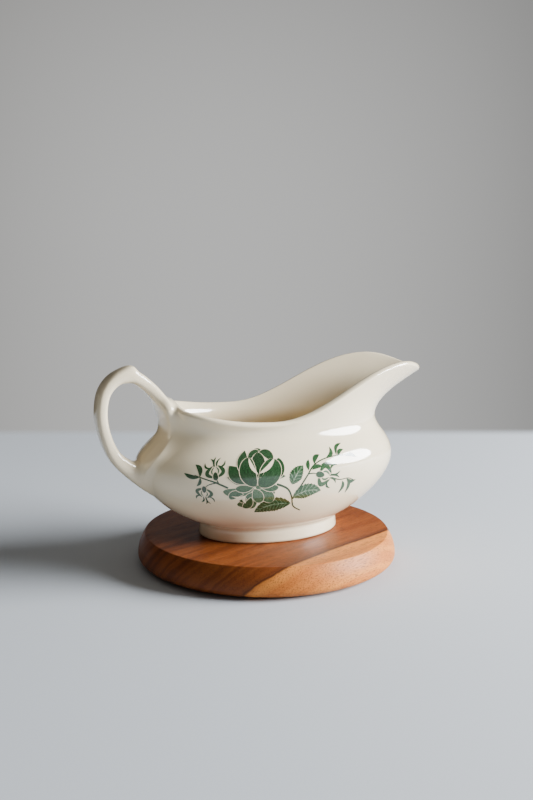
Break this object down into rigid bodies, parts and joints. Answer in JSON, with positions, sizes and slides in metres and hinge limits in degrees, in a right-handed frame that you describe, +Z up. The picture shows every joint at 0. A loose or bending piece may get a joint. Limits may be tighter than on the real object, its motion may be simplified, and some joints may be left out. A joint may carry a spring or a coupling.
{
  "type": "gravy boat on a wooden stand",
  "caption": "Oval glazed earthenware gravy boat with a broad pouring spout, loop handle and green rose print, standing loose on a round varnished wooden stand.",
  "frame": {"origin": "centre of the wooden stand's flat underside", "axes": "+X towards the spout, +Y to the pourer's left, +Z up"},
  "size_m": [0.2004, 0.151, 0.1199],
  "materials": {
    "glaze": "glossy cream glaze",
    "timber": "satin varnish"
  },
  "bodies": {
    "stand": {"wooden_stand": "timber"},
    "boat": {"foot_ring": "glaze", "bowl": "glaze", "back_band": "glaze", "handle": "glaze"}
  },
  "joints": [
    {"name": "boat_lift", "type": "slide", "parent": "stand", "child": "boat", "axis": [0, 0, 1], "range_m": [0, 0.15]}
  ]
}
